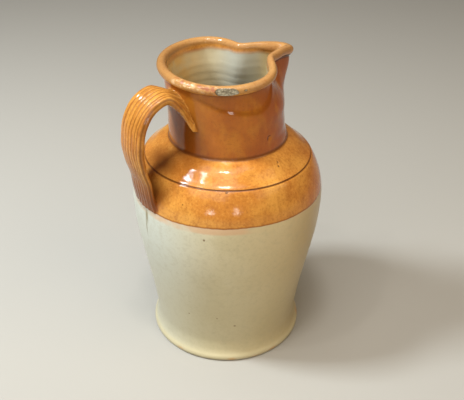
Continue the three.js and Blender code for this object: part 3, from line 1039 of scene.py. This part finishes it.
# %% How the pale glaze varies
MASKS += [
    ("pale_cloudy", "RAMP", "pale_clouds", 0.38, 0.64),
    ("pale_mottled", "RAMP", "pale_mottle", 0.46, 0.7, 0, 0.2),
    ("pale_grainy", "RAMP", "grain", 0.5, 0.72, 0, 0.16),
    # Painted light on the pale glaze: a cool reflection on the left, warm shade on the right, browner shade
    # at the far right, and shade lower down.
    ("cool_reflection", "RAMP", "to_right", -2, -76),
    ("warm_shade_right", "RAMP", "to_right", -10, 60, 0, 0.6),
    ("brown_shade_right", "RAMP", "to_right", 48, 96, 0, 0.6),
    ("low_shade", "RAMP", "height", 165, 40, 0, 0.58),
    ("foot_bead", "RAMP", "height", 10, 6, 0, 0.75),
    ("inner_cloudy", "RAMP", "inner_clouds", 0.38, 0.66),
    ("handle_side", "RAMP", "along_spout", 16, -34),
    # Painted shade and warm thrown light: the inside goes browner towards the handle.
    ("inner_patches", "RAMP", "inner_shade_clouds", 0.32, 0.62, 0.3, 0.95),
    ("inner_handle_side_shade", "PRODUCT", "inner_patches", "handle_side"),
    # Painted light: a pale lit patch on the far inside wall, fainter deeper down.
    ("lit_from", "RAMP", "to_right", -22, 6),
    ("lit_to", "RAMP", "to_right", 46, 26, 0.3, 1),
    ("shallow", "RAMP", "height", 225, 270, 0.5, 1),
    ("inner_painted_light", "PRODUCT", "lit_from", "lit_to", "shallow"),
    # Painted shade on the right inside, where the lamps don't reach, and painted light deep down.
    ("inner_right_shade", "RAMP", "to_right", 20, 44, 0, 0.8),
    ("inner_deep_light", "RAMP", "height", 272, 238, 0, 0.8),
]
print("masks so far:", len(MASKS))

# %% [markdown]
# A flake bares grey, sandy clay, with a dark line round it. The rubbed lip has red patches and white
# bits. With these rows the list is complete, and one loop makes all the masks.

# %% Where clay shows, and making the masks
MASKS += [
    ("clay_grainy", "RAMP", "clay_grain", 0.4, 0.62),
    ("chip_begins", "RAMP", "bare_clay", 0.05, 0.35),
    ("chip_within", "RAMP", "bare_clay", 0.95, 0.6, 0, 0.8),
    ("chip_edge", "PRODUCT", "chip_begins", "chip_within"),
    ("chipped", "RAMP", "bare_clay", 0.35, 0.7),
    ("rub_reach", "RAMP", "rubbed", 0.02, 0.5),
    ("rub_bits", "RAMP", "mottle", 0.46, 0.39, 0, 0.6),
    ("rub_patches", "RAMP", "mottle", 0.5, 0.6, 0, 0.7),
    ("rubbed_red", "PRODUCT", "rub_reach", "rub_patches"),
    ("rubbed_white", "PRODUCT", "rub_reach", "rub_bits"),
    ("rough_clay", "PRODUCT", "clay_grain", "chipped"),
]
for name, operation, *terms in MASKS:
    terms = [value.get(term, term) for term in terms]
    if operation == "RAMP":
        made = add("ShaderNodeMapRange", enumerate(terms), interpolation_type="SMOOTHSTEP")
    elif operation == "PRODUCT":
        product = terms[0]
        for term in terms[1:]:
            made = add("ShaderNodeMath", {0: product, 1: term}, operation="MULTIPLY")
            product = made.outputs[0]
    else:
        made = add("ShaderNodeMath", enumerate(terms), operation=operation)
    value[name] = made.outputs[0]
print("masks:", len(MASKS))

# %% [markdown]
# A colour starts from its base, and each layer covers it by the share of its mask. A base or a layer may
# be a colour made before it. The brown is the longest: clouds and blotches first, then the dark pools,
# lines and painted shade, and the wear last.

# %% The colours of the brown glaze
COLOURS = {
    "shoulder_brown": ("#bb7730", ("cloudy", "#cd9040"), ("far_right", "#ab5c22")),
    # The last layer of the neck's brown is painted shade on its right side.
    "neck_brown": ("#a2591a", ("cloudy", "#b16920"), ("right_neck_shade", "#9b4d1b")),
    "brown": (
        "shoulder_brown", ("on_neck", "neck_brown"), ("strap_high", "#b37c36"), ("blotched", "#d99a46"),
        ("neck_blotched", "#bd7c26"), ("thin_blotches", "#8f5220"), ("mottled", "#94561f"),
        # Painted shade among the brown's layers: the handle's shadow here and the strap's darker lower end
        # next.
        ("light_grain", "#d9a050"), ("handle_shadow", "#66330f"), ("streaked", "#8f4e1b"),
        ("strap_low_shade", "#713614"), ("thin_on_lip", "#a27b4f"), ("lip_left", "#7d5228"),
        ("strap_streaked", "#8f4d1b"), ("grainy", "#8a4d1d"), ("speckled", "#6f3c17"),
        # The groove layer also draws the painted shade line along the fold, and the under-lip layer is
        # partly painted shade.
        ("groove_pool_and_fold_shade", "#64360f"), ("edge_pooled", "#74390f"), ("line", "#562a10"),
        ("crease", "#572a12"), ("under_lip", "#4c2410"), ("rubbed_red", "#8c4526"),
        ("rubbed_white", "#cbab82"),
    ),
}
print("layers of the brown:", len(COLOURS["brown"]))

# %% [markdown]
# The pale glaze and the clay are built in the same way, and the finish puts them all together: pale all
# over, brown where it was dipped, then the specks, the dark knocks and the chips.

# %% Lay the colours
# Inside, the colour carries painted shade and light: browner towards the handle, a lit patch, a shaded
# right side and a lighter deep part.
COLOURS["inner_pale"] = (
    "#aa9b79", ("inner_cloudy", "#b4a786"), ("inner_handle_side_shade", "#bd9148"), ("inner_painted_light", "#a9a797"),
    ("inner_right_shade", "#bda670"), ("inner_deep_light", "#d8d0b4"),
)
# The pale colour carries painted light: a cool reflection on the left, warm and brown shade on the right,
# and shade lower down.
COLOURS["pale"] = (
    "#c8bc97", ("pale_cloudy", "#d0c5a3"), ("cool_reflection", "#c3c5b8"), ("warm_shade_right", "#c0a878"),
    ("brown_shade_right", "#a98b57"), ("low_shade", "#ac9f7a"), ("pale_mottled", "#a59b7c"),
    ("pale_grainy", "#9d9272"), ("stain", "#c9a27c"), ("foot_bead", "#bcb08c"), ("foot_spots", "#b98a55"),
    ("drip", "#7d6a3a"), ("inner_side", "inner_pale"),
)
COLOURS["clay"] = ("#776d59", ("clay_grainy", "#a39981"))
COLOURS["finish"] = (
    "pale", ("brown_share", "brown"), ("iron", "#6a4a28"), ("dark_knocks", "#3d2110"), ("chipped", "clay"),
    ("chip_edge", "#4c3019"),
)
for name, (base, *layers) in COLOURS.items():
    colour = value[base] if base in value else linear(base)
    for share, over in layers:
        over = value[over] if over in value else linear(over)
        colour = add("ShaderNodeMix", {0: value[share], 6: colour, 7: over}, data_type="RGBA").outputs[2]
    value[name] = colour
tree.links.new(value["finish"], surface.inputs["Base Color"])
print("colours:", list(COLOURS))

# %% [markdown]
# The pale glaze is slightly duller than the brown, and bare clay is matt. A fine orange-peel ripple,
# under a tenth of a millimetre high, breaks up the reflections, and the dip has a raised edge.

# %% Gloss and the ripple
PALE_ROUGHNESS = 0.30
ROUGHNESSES = (("brown_share", 0.13), ("grainy", 0.24), ("rubbed_red", 0.45), ("chipped", 0.80))
RELIEF_IN_MM = {
    "ripple": 0.17, "peel": 0.05, "brown_share": 0.12, "rubbed_red": -0.15, "iron": -0.12,
    "rough_clay": 0.4,
}

gloss = PALE_ROUGHNESS
for share, roughness in ROUGHNESSES:
    gloss = add("ShaderNodeMix", {0: value[share], 2: gloss, 3: roughness}).outputs[0]
tree.links.new(gloss, surface.inputs["Roughness"])
surface.inputs["IOR"].default_value = 1.5
surface.inputs["Specular IOR Level"].default_value = 0.34

relief = 0.0
for name, depth in RELIEF_IN_MM.items():
    terms = {0: value[name], 1: depth, 2: relief}
    relief = add("ShaderNodeMath", terms, operation="MULTIPLY_ADD").outputs[0]
bumps = add("ShaderNodeBump", {"Height": relief, "Distance": MM, "Strength": 1.0})
tree.links.new(bumps.outputs[0], surface.inputs["Normal"])
print("nodes in the glaze:", len(tree.nodes))

# %% [markdown]
# ## Finish
#
# Smooth shading by angle keeps the chips and the incised line crisp. The piece rides on the jug's only
# body, stands for the solid, and takes its finish from the glaze slot.

# %% Hand the jug over
CRISP_ANGLE = math.radians(38)

jug.data.materials.clear()
jug.data.materials.append(glaze)
bpy.ops.object.select_all(action="DESELECT")
jug.select_set(True)
bpy.context.view_layer.objects.active = jug
bpy.ops.object.shade_smooth_by_angle(angle=CRISP_ANGLE)
jug.data.calc_loop_triangles()
print("triangles:", len(jug.data.loop_triangles))

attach(jug, "root")
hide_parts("jug")
